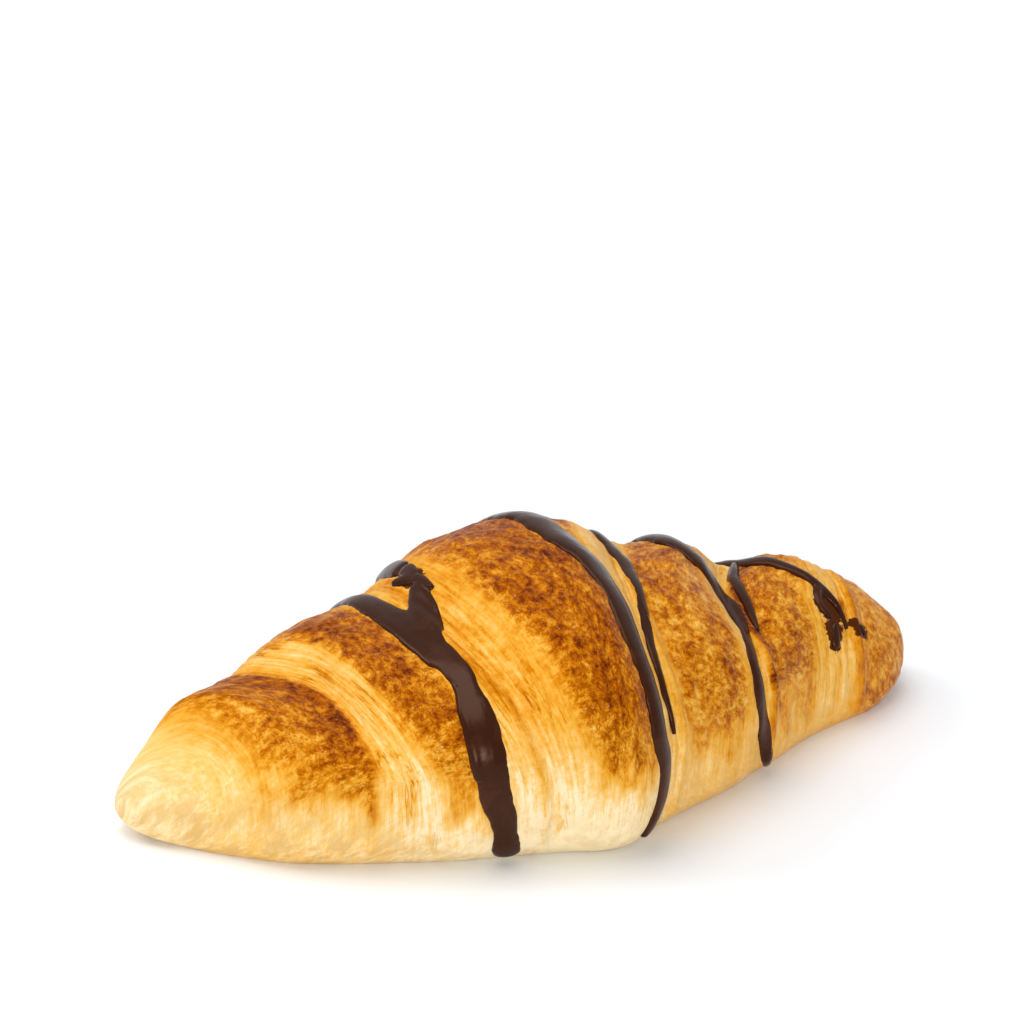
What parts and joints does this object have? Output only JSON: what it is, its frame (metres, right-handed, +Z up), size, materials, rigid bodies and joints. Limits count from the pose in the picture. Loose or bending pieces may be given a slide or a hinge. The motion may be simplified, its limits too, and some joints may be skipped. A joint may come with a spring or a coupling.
{
  "type": "chocolate-drizzled croissant",
  "caption": "Baked straight croissant of rolled laminated dough with stepped wraps, tapered ends and set dark chocolate drizzle lines across its crust.",
  "frame": {"origin": "centre of the bounding box's bottom face, on the surface that the croissant rests on", "axes": "+X along the roll from the nearer, blunter end to the farther end, +Y across it towards the back, +Z up"},
  "size_m": [0.165, 0.0808, 0.0505],
  "materials": {
    "crust": "satin",
    "chocolate": "satin"
  },
  "bodies": {
    "root": {"croissant": "crust", "drizzle_left_forked": "chocolate", "drizzle_centre_broad": "chocolate", "drizzle_centre_thin": "chocolate", "drizzle_right_broad": "chocolate", "drizzle_right_thin": "chocolate", "drizzle_end_smeared": "chocolate"}
  },
  "joints": []
}
